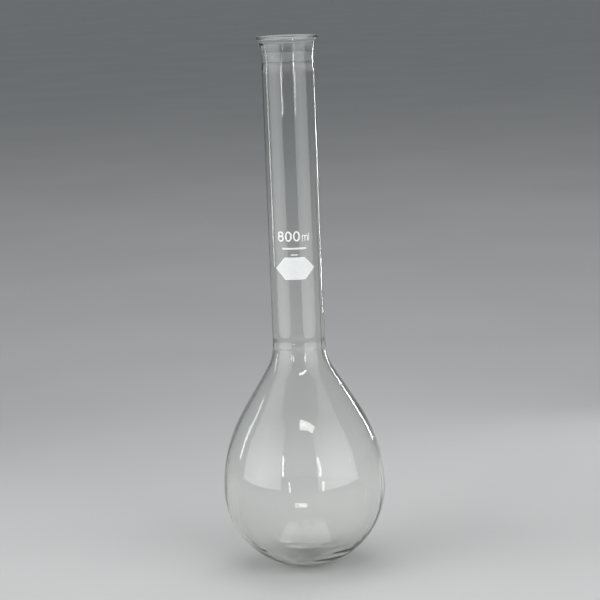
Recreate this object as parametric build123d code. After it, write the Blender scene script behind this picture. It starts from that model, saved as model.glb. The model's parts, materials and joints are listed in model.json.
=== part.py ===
from build123d import *
from math import cos, radians, sin
import os

# Kjeldahl digestion flask, nominal 800 ml, borosilicate glass with a fired white print on its neck.
# Millimetres. +Z runs up the axis of the neck, and the origin is the lowest point of the round bottom.
# The print faces -Y, and +X is to the right of somebody reading it.

# Glass, outer surface
overall_height = 375.0
bulb_radius = 57.0  # round bottom, up to the widest point
shoulder_radius = 109.0  # convex arc above the widest point
shoulder_angle = 31.5  # half angle of the straight cone that follows, from the axis
root_radius = 25.0  # concave arc from the cone into the neck
neck_radius = 18.5
wall = 2.0

# Tooled mouth: heights are measured down from the top of the flask
mouth_radius = 21.4
bead_radius = 1.4  # fire-polished lip
bead_meet_angle = 45.0  # the flare runs into the bead this far below its widest point
tooled_height = 25.0
waist_depth = 18.0
waist_radius = 18.0
flare_depth = 12.0  # the bore is straight below this and opens above it
flare_mid_depth = 4.6  # the flare is a trumpet: this far down it stands out only a little
flare_mid_radius = 19.3

# Print on the neck: widths are measured round the neck, and left is negative
enamel_thickness = 0.12
baseline_height = 235.4  # foot of the figures and letters
digit_height = 7.15
digit_width = 4.8
digit_stroke = 1.05
digit_pitch = 5.7
first_digit_place = -9.4
unit_stroke = 0.55
m_height = 4.35
m_width = 4.2
m_place = 7.9
l_height = 5.5
l_place = 10.8
spot_height = 216.6  # height of the marking spot's centre
spot_width = 26.3  # straight across, tip to tip
spot_flat = 13.8  # length of its top and bottom edges
spot_tall = 15.5
spot_corner = 0.7
name_rule_size = (16.5, 1.2)
name_rule_height = 230.5
short_rule_size = (5.0, 0.7)
short_rule_height = 226.1

# Worked out from the above
bore_radius = neck_radius - wall
cone_top_radius = neck_radius + root_radius * (1 - cos(radians(shoulder_angle)))
cone_foot_radius = bulb_radius - shoulder_radius * (1 - cos(radians(shoulder_angle)))
cone_foot_height = bulb_radius + shoulder_radius * sin(radians(shoulder_angle))
cone_length = (cone_foot_radius - cone_top_radius) / sin(radians(shoulder_angle))
cone_top_height = cone_foot_height + cone_length * cos(radians(shoulder_angle))
neck_root_height = cone_top_height + root_radius * sin(radians(shoulder_angle))
tooled_foot_height = overall_height - tooled_height


def turned(edges):
    """The solid of revolution of a closed outline drawn as (radius, height)."""
    return revolve(Plane.XZ * make_face(edges), Axis.Z)


def bulb_outline(depth):
    """The bulb's outline from the axis up to the neck root, at a depth below the outer surface."""
    ball = CenterArc((0, bulb_radius), bulb_radius - depth, -90, 90)
    shoulder_centre = (bulb_radius - shoulder_radius, bulb_radius)
    shoulder = CenterArc(shoulder_centre, shoulder_radius - depth, 0, shoulder_angle)
    root_centre = (neck_radius + root_radius, neck_root_height)
    root = CenterArc(root_centre, root_radius + depth, 180 + shoulder_angle, -shoulder_angle)
    cone = Line(shoulder @ 1, root @ 0)
    return [ball, shoulder, cone, root]


def bulb():
    """Pear-shaped vessel of even wall, open at the neck root."""
    outside = bulb_outline(0)
    inside = bulb_outline(wall)
    top_edge = Line(outside[-1] @ 1, inside[-1] @ 1)
    on_axis = Line(inside[0] @ 0, outside[0] @ 0)
    return turned(outside + inside + [top_edge, on_axis])


def neck_tube():
    """Straight tube from the neck root to the foot of the tooled mouth."""
    corners = [
        (bore_radius, neck_root_height),
        (neck_radius, neck_root_height),
        (neck_radius, tooled_foot_height),
        (bore_radius, tooled_foot_height),
    ]
    return turned([Polyline(corners, close=True)])


def flared_mouth():
    """Slight waist, then a trumpet flare that ends in a round bead."""
    top = overall_height
    bead_centre = (mouth_radius - bead_radius, top - bead_radius)
    bead = CenterArc(bead_centre, bead_radius, -bead_meet_angle, 180 + bead_meet_angle)
    outside = Spline(
        (neck_radius, tooled_foot_height),
        (waist_radius, top - waist_depth),
        (neck_radius, top - flare_depth),
        (flare_mid_radius, top - flare_mid_depth),
        bead @ 0,
        tangents=[(0, 1), bead % 0],
    )
    inside = Spline(
        bead @ 1,
        (bore_radius + 0.6, top - flare_depth / 2),
        (bore_radius, top - flare_depth),
        tangents=[(0, -1), (0, -1)],
    )
    bore = Line(inside @ 1, (bore_radius, tooled_foot_height))
    foot = Line(bore @ 1, outside @ 0)
    return turned([outside, bead, inside, bore, foot])


def printed(drawing, place, height):
    """A flat drawing laid on the neck as a thin enamel skin.

    The drawing's origin goes at the given place round the neck and the given height.
    """
    turn = place / neck_radius
    outward = (sin(turn), -cos(turn), 0)
    along = (cos(turn), sin(turn), 0)
    tangent_plane = Plane(origin=(0, 0, height), x_dir=along, z_dir=outward)
    punch = extrude(tangent_plane * drawing, 2 * neck_radius)
    tall = 2 * spot_tall
    skin = Cylinder(neck_radius + enamel_thickness, tall) - Cylinder(neck_radius, tall)
    return (Pos(0, 0, height) * skin) & punch


def oval_ring(width, height, stroke):
    """An upright oval band, standing on its origin."""
    hole = Ellipse(width / 2 - stroke, height / 2 - stroke)
    return Pos(0, height / 2) * (Ellipse(width / 2, height / 2) - hole)


def zero_drawing():
    return oval_ring(digit_width, digit_height, digit_stroke)


def eight_drawing():
    """Two bands that share one stroke where they meet, the upper one a little smaller."""
    lower_height = 0.6 * digit_height
    upper_height = digit_height - lower_height + digit_stroke
    lower = oval_ring(digit_width, lower_height, digit_stroke)
    upper = oval_ring(0.9 * digit_width, upper_height, digit_stroke)
    return lower + Pos(0, lower_height - digit_stroke) * upper


def m_drawing():
    """Three stems and two round arches."""
    stem_pitch = (m_width - unit_stroke) / 2
    arch_radius = (stem_pitch + unit_stroke) / 2
    springing = m_height - arch_radius
    stem = Rectangle(unit_stroke, springing, align=(Align.CENTER, Align.MIN))
    drawing = Rectangle(unit_stroke, m_height, align=(Align.CENTER, Align.MIN))
    drawing = Pos(-stem_pitch, 0) * drawing
    arch = Circle(arch_radius) - Circle(arch_radius - unit_stroke)
    upper_half = Rectangle(m_width, m_width, align=(Align.CENTER, Align.MIN))
    arch = arch & upper_half
    for side in (-1, 1):
        drawing += Pos(side * stem_pitch / 2, springing) * arch
    for column in (0, 1):
        drawing += Pos(column * stem_pitch, 0) * stem
    return drawing


def l_drawing():
    return Rectangle(unit_stroke, l_height, align=(Align.CENTER, Align.MIN))


def spot_drawing():
    """Six-sided patch with pointed ends and slightly rounded corners."""
    half_flat = spot_flat / 2
    half_tall = spot_tall / 2
    corners = [
        (-spot_width / 2, 0),
        (-half_flat, half_tall),
        (half_flat, half_tall),
        (spot_width / 2, 0),
        (half_flat, -half_tall),
        (-half_flat, -half_tall),
    ]
    patch = make_face(Polyline(corners, close=True))
    return fillet(patch.vertices(), spot_corner)


def rule_drawing(size):
    """A plain bar with round ends."""
    return SlotOverall(*size)


def write(name, piece):
    export_step(piece, f"parts/{name}.step")


def main():
    os.makedirs("parts", exist_ok=True)
    write("bulb", bulb())
    write("neck_tube", neck_tube())
    write("flared_mouth", flared_mouth())

    digits = {
        "digit_eight": eight_drawing(),
        "digit_zero_middle": zero_drawing(),
        "digit_zero_right": zero_drawing(),
    }
    for column, (name, drawing) in enumerate(digits.items()):
        write(name, printed(drawing, first_digit_place + column * digit_pitch, baseline_height))
    write("unit_m", printed(m_drawing(), m_place, baseline_height))
    write("unit_l", printed(l_drawing(), l_place, baseline_height))
    write("name_rule", printed(rule_drawing(name_rule_size), 0, name_rule_height))
    write("short_rule", printed(rule_drawing(short_rule_size), 0, short_rule_height))
    write("marking_spot", printed(spot_drawing(), 0, spot_height))

    print(f"neck root at {neck_root_height:.2f} mm, bore radius {bore_radius:.2f} mm")
    print(f"straight bore {overall_height - flare_depth - neck_root_height:.2f} mm long")


main()
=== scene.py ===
"""Looks for the Kjeldahl digestion flask: one blown glass body and a fired white print.

Metres, in the frame of the CAD model. The glass is turned from the same arcs as the CAD model, as one
closed wall with a real inside, so that light bends through it as it does through the real flask.
"""

import json
import math

import bmesh
import bpy
from mathutils import Matrix, Vector, noise


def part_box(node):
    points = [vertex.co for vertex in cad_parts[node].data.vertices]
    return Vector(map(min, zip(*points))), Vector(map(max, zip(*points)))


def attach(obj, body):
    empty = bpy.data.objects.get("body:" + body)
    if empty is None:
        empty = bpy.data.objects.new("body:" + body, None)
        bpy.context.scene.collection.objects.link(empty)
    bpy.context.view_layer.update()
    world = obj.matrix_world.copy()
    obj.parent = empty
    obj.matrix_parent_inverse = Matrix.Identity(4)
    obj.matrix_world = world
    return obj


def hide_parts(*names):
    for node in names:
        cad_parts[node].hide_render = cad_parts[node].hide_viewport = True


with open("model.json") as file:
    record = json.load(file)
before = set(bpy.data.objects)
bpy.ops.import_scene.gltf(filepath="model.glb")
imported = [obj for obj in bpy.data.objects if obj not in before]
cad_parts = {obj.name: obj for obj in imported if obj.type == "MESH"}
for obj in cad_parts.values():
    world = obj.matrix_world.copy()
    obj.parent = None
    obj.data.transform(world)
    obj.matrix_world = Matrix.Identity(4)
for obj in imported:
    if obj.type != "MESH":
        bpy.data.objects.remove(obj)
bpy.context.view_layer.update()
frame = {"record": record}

MM = 0.001

# ---------------------------------------------------------------- sizes read from the frame
bulb_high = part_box("bulb")[1]
neck_low, neck_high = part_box("neck_tube")
mouth_low, mouth_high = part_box("flared_mouth")
bore_mount = next(m for m in frame["record"]["mounts"] if m["name"] == "neck_bore")

TOP = mouth_high.z
BULB_RADIUS = bulb_high.x
NECK_RADIUS = neck_high.x
MOUTH_RADIUS = mouth_high.x
BORE_RADIUS = bore_mount["dims"]["r_mm"] * MM
WALL = NECK_RADIUS - BORE_RADIUS
ROOT_HEIGHT = neck_low.z
TOOLED_FOOT = mouth_low.z

# ---------------------------------------------------------------- the outline, as in the CAD model
SHOULDER_RADIUS = 109 * MM
SHOULDER_ANGLE = math.radians(31.5)
ROOT_RADIUS = 25 * MM
BEAD_RADIUS = 1.4 * MM
BEAD_MEET_ANGLE = math.radians(45)
WAIST_DEPTH = 18 * MM
WAIST_RADIUS = 18 * MM
FLARE_DEPTH = 12 * MM
FLARE_MID_DEPTH = 4.6 * MM
FLARE_MID_RADIUS = 19.3 * MM
BORE_WIDENING = 0.6 * MM  # how far the bore has opened halfway up the flare

# ---------------------------------------------------------------- what the visual model adds
BLEND = 13 * MM  # each change of curvature is spread over this length
BLEND_SAMPLES = 9
WAVE_FADE = 12 * MM  # the unevenness dies out over this radius, so that the axis stays smooth
BOTTOM_EXTRA = 0.4 * MM  # the wall is this much thicker at the bottom
BOTTOM_REACH = 22 * MM
SIDE_LOSS = 0.25 * MM  # and this much thinner a little above the widest point
SIDE_HEIGHT = BULB_RADIUS + 12 * MM
SIDE_REACH = 35 * MM

# ---------------------------------------------------------------- mesh fineness
RING_VERTS = 320
ARC_STEP = 0.9 * MM
NECK_STEP = 1.5 * MM
CURVE_STEP = 0.35 * MM
BEAD_STEP = 0.2 * MM
MERIDIAN_SUBSTEPS = 4


# ---------------------------------------------------------------- small helpers
def smooth_step(low, high, x):
    t = min(max((x - low) / (high - low), 0.0), 1.0)
    return t * t * (3 - 2 * t)


def bump(centre, width, x):
    """1 at the centre, falling smoothly to 0 a few widths away."""
    return math.exp(-(((x - centre) / width) ** 2))


def new_object(name, data):
    obj = bpy.data.objects.new(name, data)
    bpy.context.scene.collection.objects.link(obj)
    return obj


def shade_smooth(mesh):
    mesh.polygons.foreach_set("use_smooth", [True] * len(mesh.polygons))


# ---------------------------------------------------------------- curves as points (radius, height)
def arc(centre, radius, start, end, step):
    """Points along an arc, with its angles in radians."""
    steps = max(4, math.ceil(abs(end - start) * radius / step))
    points = []
    for i in range(steps + 1):
        a = start + (end - start) * i / steps
        points.append((centre[0] + radius * math.cos(a), centre[1] + radius * math.sin(a)))
    return points


def run(start, end, step):
    """Points along a straight run, without its first point."""
    steps = max(1, math.ceil(math.dist(start, end) / step))
    points = []
    for i in range(1, steps + 1):
        r = start[0] + (end[0] - start[0]) * i / steps
        z = start[1] + (end[1] - start[1]) * i / steps
        points.append((r, z))
    return points


def hermite_point(start, end, start_tangent, end_tangent, t):
    return (
        start * (2 * t**3 - 3 * t**2 + 1)
        + start_tangent * (t**3 - 2 * t**2 + t)
        + end * (3 * t**2 - 2 * t**3)
        + end_tangent * (t**3 - t**2)
    )


def hermite(points, start_slope, end_slope):
    """A smooth curve through a few points, without the first, with its end directions given."""
    vectors = [Vector(p) for p in points]
    tangents = [Vector(start_slope).normalized() * (vectors[1] - vectors[0]).length]
    for before, after in zip(vectors, vectors[2:]):
        tangents.append((after - before) / 2)
    tangents.append(Vector(end_slope).normalized() * (vectors[-1] - vectors[-2]).length)
    curve = []
    for k in range(len(vectors) - 1):
        span = (vectors[k + 1] - vectors[k]).length
        steps = max(2, math.ceil(span / CURVE_STEP))
        for i in range(1, steps + 1):
            point = hermite_point(vectors[k], vectors[k + 1], tangents[k], tangents[k + 1], i / steps)
            curve.append((point.x, point.y))
    return curve


# ---------------------------------------------------------------- the outline of the glass
def bulb_spans():
    """The outer meridian from the bottom to the neck as (length, curvature), in the CAD model's arcs."""
    cone_foot_radius = BULB_RADIUS - SHOULDER_RADIUS * (1 - math.cos(SHOULDER_ANGLE))
    cone_top_radius = NECK_RADIUS + ROOT_RADIUS * (1 - math.cos(SHOULDER_ANGLE))
    cone_length = (cone_foot_radius - cone_top_radius) / math.sin(SHOULDER_ANGLE)
    return [
        (BULB_RADIUS * math.pi / 2, 1 / BULB_RADIUS),
        (SHOULDER_RADIUS * SHOULDER_ANGLE, 1 / SHOULDER_RADIUS),
        (cone_length, 0.0),
        (ROOT_RADIUS * SHOULDER_ANGLE, -1 / ROOT_RADIUS),
    ]


def turned_so_far(spans, place):
    """How far the meridian's direction has turned at a place along it, in radians."""
    turned = 0.0
    for length, curvature in spans:
        step = min(max(place, 0.0), length)
        turned += step * curvature
        place -= length
    return turned


def direction_at(spans, place):
    """The meridian's direction, averaged over BLEND because blown glass has no sudden changes."""
    if place < BLEND:
        return place / BULB_RADIUS
    total = 0.0
    for k in range(BLEND_SAMPLES):
        total += turned_so_far(spans, place + BLEND * (k / (BLEND_SAMPLES - 1) - 0.5))
    return total / BLEND_SAMPLES


def bulb_meridian():
    """(radius, height, direction) from the bottom up to the neck, brought to the neck's radius."""
    spans = bulb_spans()
    total = sum(length for length, _ in spans) + BLEND
    count = math.ceil(total / ARC_STEP) * MERIDIAN_SUBSTEPS
    step = total / count
    points = []
    r = 0.0
    z = 0.0
    for i in range(count + 1):
        direction = direction_at(spans, i * step)
        points.append((r, z, direction))
        r += step * math.cos(direction)
        z += step * math.sin(direction)
    drift = NECK_RADIUS - points[-1][0]
    kept = []
    for r, z, direction in points[::MERIDIAN_SUBSTEPS]:
        kept.append((r + drift * smooth_step(BULB_RADIUS, ROOT_HEIGHT, z), z, direction))
    return kept


def wall_here(z):
    """Blown wall: thicker at the bottom, thinner near the widest point, true again at the neck."""
    thick = BOTTOM_EXTRA * bump(0.0, BOTTOM_REACH, z)
    thin = SIDE_LOSS * bump(SIDE_HEIGHT, SIDE_REACH, z)
    return WALL + thick - thin


def mouth_outline():
    """Outside of the tooled mouth, then round its bead and down the inside to the straight bore."""
    bead_centre = (MOUTH_RADIUS - BEAD_RADIUS, TOP - BEAD_RADIUS)
    bead = arc(bead_centre, BEAD_RADIUS, -BEAD_MEET_ANGLE, math.pi, BEAD_STEP)
    outside_points = [
        (NECK_RADIUS, TOOLED_FOOT),
        (WAIST_RADIUS, TOP - WAIST_DEPTH),
        (NECK_RADIUS, TOP - FLARE_DEPTH),
        (FLARE_MID_RADIUS, TOP - FLARE_MID_DEPTH),
        bead[0],
    ]
    inside_points = [
        bead[-1],
        (BORE_RADIUS + BORE_WIDENING, TOP - FLARE_DEPTH / 2),
        (BORE_RADIUS, TOP - FLARE_DEPTH),
    ]
    along_bead = (math.sin(BEAD_MEET_ANGLE), math.cos(BEAD_MEET_ANGLE))
    outside = hermite(outside_points, (0, 1), along_bead)
    inside = hermite(inside_points, (0, -1), (0, -1))
    return outside, bead[1:] + inside


def glass_outline():
    """The whole closed wall as (radius, height, side), side 0 for the outside and 1 for the inside."""
    mouth_outside, mouth_inside = mouth_outline()
    meridian = bulb_meridian()
    outside = [(r, z) for r, z, _ in meridian[1:]]
    outside += run(outside[-1], (NECK_RADIUS, TOOLED_FOOT), NECK_STEP)
    outside += mouth_outside
    inside_bulb = []
    for r, z, direction in meridian[1:]:
        depth = wall_here(z)
        inside_bulb.append((r - depth * math.sin(direction), z + depth * math.cos(direction)))
    inside_bulb.reverse()
    inside = mouth_inside + run(mouth_inside[-1], inside_bulb[0], NECK_STEP) + inside_bulb[1:]
    return [(r, z, 0) for r, z in outside] + [(r, z, 1) for r, z in inside]


# ---------------------------------------------------------------- the unevenness of hand work
def around(angle):
    return Vector((math.cos(angle), math.sin(angle), 0.0))


def wander(across, z, fineness, climb, seed, depth=1.0):
    """Smooth noise between -depth and depth: fineness varies it round the axis, climb up it."""
    return depth * noise.noise(across * fineness + Vector((seed[0], seed[1], z * climb)))


def waves(z, centre, pitch, reach, depth):
    """Waves up the wall that die away from their centre."""
    return depth * math.cos((z - centre) / pitch) * bump(centre, reach, z)


def bulb_share(z):
    """1 in the bulb and 0 in the neck."""
    return 1 - smooth_step(ROOT_HEIGHT - 20 * MM, ROOT_HEIGHT + 5 * MM, z)


def tooling(across, z):
    """What the forming tool leaves in the mouth, with nothing at the bead, in metres."""
    in_mouth = smooth_step(TOOLED_FOOT - 4 * MM, TOOLED_FOOT + 4 * MM, z)
    in_mouth *= 1 - smooth_step(TOP - 6 * MM, TOP - 3 * MM, z)
    marks = wander(across, z, fineness=2.2, climb=110, seed=(1, 6), depth=0.11 * MM)
    marks += wander(across, z, fineness=6.5, climb=190, seed=(4, 2), depth=0.035 * MM)
    return marks * in_mouth


def outer_waviness(angle, z):
    """How far hand working leaves the outer surface from a true turned one, in metres."""
    across = around(angle)
    swell = wander(across, z, fineness=1.3, climb=22, seed=(0, 0), depth=0.10 * MM) * bulb_share(z)
    streak = wander(across, z, fineness=4.0, climb=4, seed=(3.1, 0), depth=0.012 * MM)
    streak += wander(across, z, fineness=17.0, climb=3, seed=(5, 4), depth=0.014 * MM)
    seal = ROOT_HEIGHT + 2.5 * MM
    seal += wander(across, z, fineness=1.2, climb=0, seed=(0, 9), depth=0.9 * MM)
    ripple = waves(z, seal, pitch=1.5 * MM, reach=4.5 * MM, depth=0.10 * MM)
    return swell + streak + ripple + tooling(across, z)


def bottom_rings(across, z):
    """Broken, irregular rings where the thick bottom cooled, in metres."""
    centre = 20 * MM
    centre += wander(across, z, fineness=0.9, climb=0, seed=(6, 2), depth=6 * MM)
    centre += wander(across, z, fineness=2.4, climb=20, seed=(0, 3), depth=2.2 * MM)
    broken = max(0.0, 0.35 + wander(across, z, fineness=1.9, climb=45, seed=(8, 1), depth=1.5))
    return waves(z, centre, pitch=0.9 * MM, reach=10 * MM, depth=0.22 * MM) * broken


def inner_waviness(angle, z):
    """The same for the inner surface, which no tool touches below the mouth, so it varies more."""
    across = around(angle)
    in_bulb = bulb_share(z)
    below_mouth = 1 - smooth_step(TOOLED_FOOT - 2 * MM, TOOLED_FOOT + 8 * MM, z)
    swell = wander(across, z, fineness=1.6, climb=26, seed=(0, 5), depth=0.25 * MM) * in_bulb
    fine = wander(across, z, fineness=6.0, climb=60, seed=(2, 5), depth=0.04 * MM) * in_bulb
    drawn = wander(across, z, fineness=5.5, climb=3, seed=(7, 0), depth=0.13 * MM)
    drawn += wander(across, z, fineness=14.0, climb=5, seed=(1, 8), depth=0.06 * MM)
    drawn *= (1 - in_bulb) * below_mouth
    seal = ROOT_HEIGHT + 3.5 * MM
    seal += wander(across, z, fineness=1.5, climb=0, seed=(4, 0), depth=1.4 * MM)
    ripple = waves(z, seal, pitch=1.7 * MM, reach=5.0 * MM, depth=0.22 * MM)
    other_marks = tooling(across * 0.8 + Vector((0, 0, 11)), z)
    return swell + bottom_rings(across, z) + fine + drawn + ripple + other_marks


# ---------------------------------------------------------------- the glass mesh
def ring_of_verts(bm, radius, z, waviness):
    fade = smooth_step(0.0, WAVE_FADE, radius)
    ring = []
    for i in range(RING_VERTS):
        angle = 2 * math.pi * i / RING_VERTS
        r = radius + waviness(angle, z) * fade
        ring.append(bm.verts.new((r * math.cos(angle), r * math.sin(angle), z)))
    return ring


def glass_mesh():
    """Rings of vertices along the outline, closed by one vertex on the axis at each end."""
    bm = bmesh.new()
    bottom = bm.verts.new((0, 0, 0))
    rings = []
    for radius, z, side in glass_outline():
        rings.append(ring_of_verts(bm, radius, z, inner_waviness if side else outer_waviness))
    bottom_inside = bm.verts.new((0, 0, wall_here(0.0)))
    for i in range(RING_VERTS):
        j = (i + 1) % RING_VERTS
        bm.faces.new((bottom, rings[0][j], rings[0][i]))
        bm.faces.new((bottom_inside, rings[-1][i], rings[-1][j]))
        for low, high in zip(rings, rings[1:]):
            bm.faces.new((low[i], low[j], high[j], high[i]))
    bm.normal_update()
    mesh = bpy.data.meshes.new("flask_glass")
    bm.to_mesh(mesh)
    bm.free()
    shade_smooth(mesh)
    return mesh


# ---------------------------------------------------------------- materials
class Nodes:
    """A short way to build a node tree, with its Principled shader and its output ready made."""

    def __init__(self, name):
        self.material = bpy.data.materials.new(name)
        self.material.use_nodes = True
        self.tree = self.material.node_tree
        self.tree.nodes.clear()
        self.output = self.add("ShaderNodeOutputMaterial")
        self.shader = self.add("ShaderNodeBsdfPrincipled")
        self.link(self.shader, "BSDF", self.output, "Surface")
        self.place = self.add("ShaderNodeTexCoord")

    def add(self, kind):
        return self.tree.nodes.new(kind)

    def link(self, a, out, b, into):
        self.tree.links.new(a.outputs[out], b.inputs[into])

    def noise(self, scale, detail=2.0, stretch=None):
        """A noise texture in the object's own coordinates, stretched along an axis if asked."""
        texture = self.add("ShaderNodeTexNoise")
        texture.inputs["Scale"].default_value = scale
        texture.inputs["Detail"].default_value = detail
        if stretch is None:
            self.link(self.place, "Object", texture, "Vector")
            return texture
        mapping = self.add("ShaderNodeMapping")
        mapping.inputs["Scale"].default_value = stretch
        self.link(self.place, "Object", mapping, "Vector")
        self.link(mapping, "Vector", texture, "Vector")
        return texture

    def bump(self, texture, strength, distance):
        relief = self.add("ShaderNodeBump")
        relief.inputs["Strength"].default_value = strength
        relief.inputs["Distance"].default_value = distance
        self.link(texture, "Fac", relief, "Height")
        return relief

    def ramp(self, source, stops):
        """A colour ramp over a texture; a stop's value is a grey or a colour."""
        node = self.add("ShaderNodeValToRGB")
        elements = node.color_ramp.elements
        while len(elements) < len(stops):
            elements.new(0.5)
        for element, (position, value) in zip(elements, stops):
            element.position = position
            colour = value if isinstance(value, tuple) else (value, value, value)
            element.color = (*colour, 1.0)
        self.link(source, "Fac", node, "Fac")
        return node


def glass_material():
    """Clear borosilicate: drawn streaks, slight orange peel, a few dust specks, a faint green depth."""
    n = Nodes("borosilicate_glass")
    n.shader.inputs["Base Color"].default_value = (1.0, 1.0, 1.0, 1.0)
    n.shader.inputs["Transmission Weight"].default_value = 1.0
    n.shader.inputs["IOR"].default_value = 1.474

    streaks = n.noise(scale=260.0, stretch=(1.0, 1.0, 0.05))
    streak_bump = n.bump(streaks, strength=0.24, distance=0.0002)
    peel = n.noise(scale=90.0, detail=3.0)
    peel_bump = n.bump(peel, strength=0.10, distance=0.0003)
    n.link(streak_bump, "Normal", peel_bump, "Normal")
    n.link(peel_bump, "Normal", n.shader, "Normal")

    specks = n.noise(scale=1500.0, detail=1.0)
    dust = n.ramp(specks, [(0.0, 0.0), (0.80, 0.0), (0.84, 0.5)])
    n.link(dust, "Color", n.shader, "Roughness")

    depth = n.add("ShaderNodeVolumeAbsorption")
    depth.inputs["Color"].default_value = (0.80, 0.93, 0.72, 1.0)
    depth.inputs["Density"].default_value = 36.0
    n.link(depth, "Volume", n.output, "Volume")
    return n.material


def enamel_material():
    """Fired white enamel: satin, faintly mottled, whiter where the screen left it thick at its edge."""
    n = Nodes("white_enamel")
    mottle = n.noise(scale=320.0, detail=4.0)
    whites = [
        (0.30, (0.57, 0.58, 0.578)),
        (0.55, (0.60, 0.612, 0.608)),
        (0.75, (0.62, 0.63, 0.62)),
    ]
    body = n.ramp(mottle, whites)
    edge = n.add("ShaderNodeAttribute")
    edge.attribute_name = "edge"
    whiter = n.add("ShaderNodeMix")
    whiter.data_type = "RGBA"
    whiter.inputs["B"].default_value = (0.76, 0.77, 0.755, 1.0)
    n.link(edge, "Fac", whiter, "Factor")
    n.link(body, "Color", whiter, "A")
    n.link(whiter, "Result", n.shader, "Base Color")

    rough = n.ramp(mottle, [(0.3, 0.34), (0.7, 0.5)])
    n.link(rough, "Color", n.shader, "Roughness")
    relief = n.bump(n.noise(scale=2600.0), strength=0.25, distance=0.00002)
    n.link(relief, "Normal", n.shader, "Normal")
    return n.material


def floor_material():
    """Plain pale grey, clouded a little."""
    n = Nodes("studio_floor")
    shade = n.ramp(n.noise(scale=3.0), [(0.3, (0.60, 0.60, 0.595)), (0.7, (0.64, 0.64, 0.635))])
    n.link(shade, "Color", n.shader, "Base Color")
    n.shader.inputs["Roughness"].default_value = 0.75
    return n.material


# ---------------------------------------------------------------- build the glass
glass = new_object("flask_glass", glass_mesh())
glass.data.materials.append(glass_material())
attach(glass, "root")
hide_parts("bulb", "neck_tube", "flared_mouth")

# ---------------------------------------------------------------- sizes of the print
ENAMEL_THICKNESS = 0.12 * MM
ENAMEL_ROUNDING = 0.04 * MM
ENAMEL_SINK = 0.005 * MM  # it starts this far inside the true neck, so that it never floats visibly
EDGE_SOLID = 0.08 * MM  # thick and white up to this far from the outline
EDGE_END = 0.38 * MM  # and even from here on
EDGE_BUILD_UP = 0.12
WEAR = 0.06
WEAR_FINENESS = 900
WEAR_SEED_STEP = 50  # keeps the wear of one figure from repeating on the next
PRINT_PITCH = 0.3 * MM

DIGIT_WIDTH = 4.8 * MM
DIGIT_HEIGHT = 7.15 * MM
DIGIT_STROKE = 1.05 * MM
UNIT_STROKE = 0.55 * MM
UNIT_ROUNDING = 0.1 * MM
M_WIDTH = 4.2 * MM
M_HEIGHT = 4.35 * MM
L_HEIGHT = 5.5 * MM
SPOT_WIDTH = 26.3 * MM
SPOT_FLAT = 13.8 * MM
SPOT_TALL = 15.5 * MM
SPOT_CORNER = 0.7 * MM
RULE_ROUNDING = 0.45  # of its height

ELLIPSE_STEPS = 72
CORNER_STEPS = 6
ARCH_STEPS = 12


# ---------------------------------------------------------------- outlines of the print
def ellipse_loop(half_width, half_height, centre_y):
    turns = [2 * math.pi * i / ELLIPSE_STEPS for i in range(ELLIPSE_STEPS)]
    return [(half_width * math.cos(a), centre_y + half_height * math.sin(a)) for a in turns]


def rounded_loop(corners, radius):
    """A closed outline with its corners rounded."""
    loop = []
    count = len(corners)
    for k in range(count):
        corner = Vector(corners[k])
        before = (Vector(corners[k - 1]) - corner).normalized()
        after = (Vector(corners[(k + 1) % count]) - corner).normalized()
        half = before.angle(after) / 2
        start = corner + before * radius / math.tan(half)
        end = corner + after * radius / math.tan(half)
        centre = corner + (before + after).normalized() * radius / math.sin(half)
        for i in range(CORNER_STEPS + 1):
            spoke = (start - centre).lerp(end - centre, i / CORNER_STEPS).normalized()
            loop.append(tuple(centre + spoke * radius))
    return loop


def box_loop(left, right, high, radius):
    """An upright box that stands on the baseline."""
    return rounded_loop([(left, 0), (right, 0), (right, high), (left, high)], radius)


def band_loops(width, height, foot):
    """An upright oval band."""
    middle = foot + height / 2
    return [
        ellipse_loop(width / 2, height / 2, middle),
        ellipse_loop(width / 2 - DIGIT_STROKE, height / 2 - DIGIT_STROKE, middle),
    ]


def eight_loops():
    """The eight's outside as one outline that narrows at its waist, and its two holes."""
    lower_height = 0.6 * DIGIT_HEIGHT
    upper_height = DIGIT_HEIGHT - lower_height + DIGIT_STROKE
    lower, lower_hole = band_loops(DIGIT_WIDTH, lower_height, 0)
    upper, upper_hole = band_loops(0.9 * DIGIT_WIDTH, upper_height, lower_height - DIGIT_STROKE)
    cross = lower_height - DIGIT_STROKE / 2
    kept_low = [p for p in lower if p[1] < cross]
    kept_high = [p for p in upper if p[1] > cross]
    kept_low.sort(key=lambda p: math.atan2(p[0], lower_height / 2 - p[1]))
    kept_high.sort(key=lambda p: math.atan2(-p[0], p[1] - cross - upper_height / 2))
    return [kept_low + kept_high, lower_hole, upper_hole]


def arch(centre, springing, radius):
    """Points over a round arch, from its right foot to its left."""
    turns = [math.pi * i / ARCH_STEPS for i in range(ARCH_STEPS + 1)]
    return [(centre + radius * math.cos(a), springing + radius * math.sin(a)) for a in turns]


def m_loops():
    """Three stems under two round arches, as one outline."""
    pitch = (M_WIDTH - UNIT_STROKE) / 2
    half = UNIT_STROKE / 2
    outer = (pitch + UNIT_STROKE) / 2
    inner = outer - UNIT_STROKE
    springing = M_HEIGHT - outer
    loop = [(-pitch - half, 0), (-pitch + half, 0)]
    for side in (-1, 1):
        centre = side * pitch / 2
        loop += reversed(arch(centre, springing, inner))
        loop += [(centre + pitch / 2 - half, 0), (centre + pitch / 2 + half, 0)]
    for side in (1, -1):
        loop += [p for p in arch(side * pitch / 2, springing, outer) if side * p[0] > 0]
    loop += [(-pitch + half, M_HEIGHT), (-pitch - half, M_HEIGHT)]
    return [loop]


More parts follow.
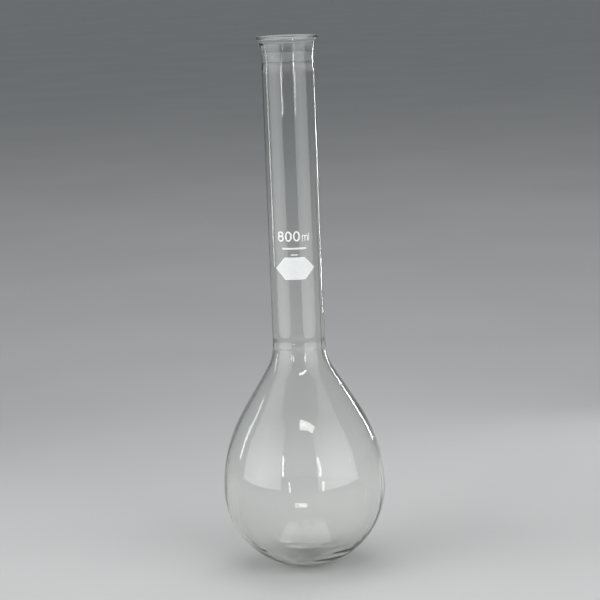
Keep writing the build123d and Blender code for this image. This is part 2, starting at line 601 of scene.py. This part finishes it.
def spot_loops():
    """A patch with pointed ends, on the baseline."""
    half = SPOT_WIDTH / 2
    flat = SPOT_FLAT / 2
    middle = SPOT_TALL / 2
    corners = [
        (-half, middle),
        (-flat, 0),
        (flat, 0),
        (half, middle),
        (flat, SPOT_TALL),
        (-flat, SPOT_TALL),
    ]
    return [rounded_loop(corners, SPOT_CORNER)]


def rule_loops(node):
    """A bar with round ends, as large as the CAD node."""
    low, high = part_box(node)
    tall = high.z - low.z
    return [box_loop(-high.x, high.x, tall, RULE_ROUNDING * tall)]


# ---------------------------------------------------------------- from outlines to enamel
def edge_distance(point, loops):
    """How far a point is from the nearest outline."""
    nearest = math.inf
    for loop in loops:
        for k in range(len(loop)):
            start = Vector(loop[k - 1])
            along = Vector(loop[k]) - start
            t = min(max((point - start).dot(along) / max(along.length_squared, 1e-18), 0), 1)
            nearest = min(nearest, (point - start - along * t).length)
    return nearest


def flat_drawing(name, loops):
    """A thin slab with rounded edges and the outlines given, lying in the XY plane."""
    curve = bpy.data.curves.new(name, "CURVE")
    curve.dimensions = "2D"
    curve.fill_mode = "BOTH"
    curve.extrude = ENAMEL_THICKNESS / 2 - ENAMEL_ROUNDING
    curve.bevel_depth = ENAMEL_ROUNDING
    curve.offset = -ENAMEL_ROUNDING
    curve.bevel_resolution = 2
    for loop in loops:
        spline = curve.splines.new("POLY")
        spline.points.add(len(loop) - 1)
        for point, (x, y) in zip(spline.points, loop):
            point.co = (x, y, 0, 1)
        spline.use_cyclic_u = True
    holder = new_object(name, curve)
    bpy.context.view_layer.update()
    mesh = bpy.data.meshes.new_from_object(holder)
    bpy.data.objects.remove(holder)
    bpy.data.curves.remove(curve)
    return mesh


def slice_up(bm, axis):
    """Cuts a mesh with planes a small pitch apart, so that it can bend and hold detail."""
    normal = Vector((0, 0, 0))
    normal[axis] = 1
    places = [v.co[axis] for v in bm.verts]
    place = math.ceil(min(places) / PRINT_PITCH) * PRINT_PITCH
    end = max(places)
    while place < end:
        everything = bm.verts[:] + bm.edges[:] + bm.faces[:]
        bmesh.ops.bisect_plane(bm, geom=everything, plane_co=normal * place, plane_no=normal)
        place += PRINT_PITCH


def on_neck(point, turn, foot, edge):
    """Where a point of the flat drawing lies on the neck, with the enamel's uneven thickness."""
    thickness = point.z + ENAMEL_THICKNESS / 2
    if point.z > 0:
        seed = Vector((turn, 0, foot * WEAR_SEED_STEP))
        wear = noise.noise(point * WEAR_FINENESS + seed)
        thickness *= 1 + EDGE_BUILD_UP * edge + WEAR * wear
    angle = turn + math.asin(point.x / NECK_RADIUS)
    radius = NECK_RADIUS - ENAMEL_SINK + thickness
    return Vector((radius * math.sin(angle), -radius * math.cos(angle), point.y + foot))


def printed(name, loops, node, material):
    """Wraps a flat drawing round the neck at the place of the CAD node that it stands for."""
    low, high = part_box(node)
    middle = (low + high) / 2
    turn = math.atan2(middle.x, -middle.y)
    mesh = flat_drawing(name, loops)
    bm = bmesh.new()
    bm.from_mesh(mesh)
    bmesh.ops.remove_doubles(bm, verts=bm.verts, dist=1e-7)
    slice_up(bm, 0)
    slice_up(bm, 1)
    edge = bm.verts.layers.float.new("edge")
    for v in bm.verts:
        v[edge] = 1 - smooth_step(EDGE_SOLID, EDGE_END, edge_distance(v.co.xy, loops))
        v.co = on_neck(v.co, turn, low.z, v[edge])
    bmesh.ops.recalc_face_normals(bm, faces=bm.faces)
    bm.to_mesh(mesh)
    bm.free()
    shade_smooth(mesh)
    piece = new_object(name, mesh)
    piece.data.materials.append(material)
    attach(piece, "root")
    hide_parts(node)


# ---------------------------------------------------------------- build the print
enamel = enamel_material()
zero = band_loops(DIGIT_WIDTH, DIGIT_HEIGHT, 0)
letter_l = [box_loop(-UNIT_STROKE / 2, UNIT_STROKE / 2, L_HEIGHT, UNIT_ROUNDING)]
printed("print_eight", eight_loops(), "digit_eight", enamel)
printed("print_zero_middle", zero, "digit_zero_middle", enamel)
printed("print_zero_right", zero, "digit_zero_right", enamel)
printed("print_m", m_loops(), "unit_m", enamel)
printed("print_l", letter_l, "unit_l", enamel)
printed("print_spot", spot_loops(), "marking_spot", enamel)
printed("print_name_rule", rule_loops("name_rule"), "name_rule", enamel)
printed("print_short_rule", rule_loops("short_rule"), "short_rule", enamel)

# ---------------------------------------------------------------- floor
FLOOR_SIZE = 60.0
bpy.ops.mesh.primitive_grid_add(x_subdivisions=8, y_subdivisions=8, size=FLOOR_SIZE)
floor = bpy.context.object
floor.name = "studio_floor"
floor.data.materials.append(floor_material())


# ---------------------------------------------------------------- aiming lamps and the camera
def facing(azimuth, elevation):
    """A direction in degrees: azimuth 0 is in front of the print, and 90 to its right."""
    a = math.radians(azimuth)
    e = math.radians(elevation)
    return Vector((math.sin(a) * math.cos(e), -math.cos(a) * math.cos(e), math.sin(e)))


def aim(obj, target, azimuth, elevation, distance, roll):
    """Stands a lamp or camera off a target and points it there, rolled by some degrees."""
    back = facing(azimuth, elevation)
    twist = Matrix.Rotation(math.radians(roll), 3, "Z").to_quaternion()
    obj.location = target + back * distance
    obj.rotation_mode = "QUATERNION"
    obj.rotation_quaternion = back.to_track_quat("Z", "Y") @ twist


# ---------------------------------------------------------------- lights
# Every light reaches the floor as well as the flask. A softbox's spread is that of its grid.
NO_GRID = 180.0
GRID = 110.0


def softbox(name, azimuth, elevation, distance, size, power, aim_height, spread=NO_GRID, roll=0.0):
    """A rectangular studio light that faces a point on the axis."""
    light = bpy.data.lights.new(name, "AREA")
    light.shape = "RECTANGLE"
    light.size = size[0]
    light.size_y = size[1]
    light.energy = power
    light.spread = math.radians(spread)
    lamp = new_object(name, light)
    aim(lamp, Vector((0, 0, aim_height)), azimuth, elevation, distance, roll)
    return lamp


low_lamps = [
    softbox(
        "softbox_left", azimuth=-61, elevation=0, distance=0.65,
        size=(0.78, 0.72), power=2.4, aim_height=0.395, spread=GRID,
    ),
    softbox(
        "softbox_right", azimuth=51, elevation=0, distance=0.65,
        size=(0.76, 0.72), power=2.2, aim_height=0.395, spread=GRID,
    ),
    softbox(
        "strip_left", azimuth=-104, elevation=0, distance=0.62,
        size=(0.05, 0.30), power=0.13, aim_height=0.27, spread=GRID,
    ),
    softbox(
        "strip_right", azimuth=142, elevation=0, distance=0.62,
        size=(0.026, 0.30), power=0.24, aim_height=0.22, spread=GRID,
    ),
]
softbox(
    "ceiling_lamp", azimuth=13, elevation=45, distance=1.2,
    size=(0.46, 0.06), power=0.9, aim_height=0.09, roll=-14,
)
softbox(
    "side_lamp_left", azimuth=-28, elevation=14, distance=1.2,
    size=(0.05, 0.32), power=0.95, aim_height=0.09,
)
softbox(
    "side_lamp_right", azimuth=26, elevation=14, distance=1.2,
    size=(0.04, 0.32), power=0.7, aim_height=0.09,
)
softbox(
    "overhead", azimuth=180, elevation=78, distance=2.6,
    size=(2.4, 2.4), power=22, aim_height=0.0,
)

# The camera never sees an area light directly, so it does not see the four that stand low and near
# through the glass either. They still light the floor and the flask, and are mirrored in the glass.
for lamp in low_lamps:
    lamp.visible_transmission = False

world = bpy.data.worlds.new("studio")
bpy.context.scene.world = world
world.use_nodes = True
sky = world.node_tree.nodes["Background"]
sky.inputs["Color"].default_value = (0.9, 0.95, 1.0, 1.0)
sky.inputs["Strength"].default_value = 0.24

# ---------------------------------------------------------------- camera
CAMERA_LENS = 120.0
CAMERA_REACH = 200.0
CAMERA_TARGET = Vector((0.0019, 0, TOP / 2 + 0.0038))

camera_data = bpy.data.cameras.new("camera")
camera_data.lens = CAMERA_LENS
camera_data.clip_end = CAMERA_REACH
camera = new_object("camera", camera_data)
aim(camera, CAMERA_TARGET, azimuth=2.4, elevation=10.0, distance=1.40, roll=-2.28)
bpy.context.scene.camera = camera
bpy.context.scene.view_settings.view_transform = "Standard"

# ---------------------------------------------------------------- bring the scene up to date
bpy.context.view_layer.update()
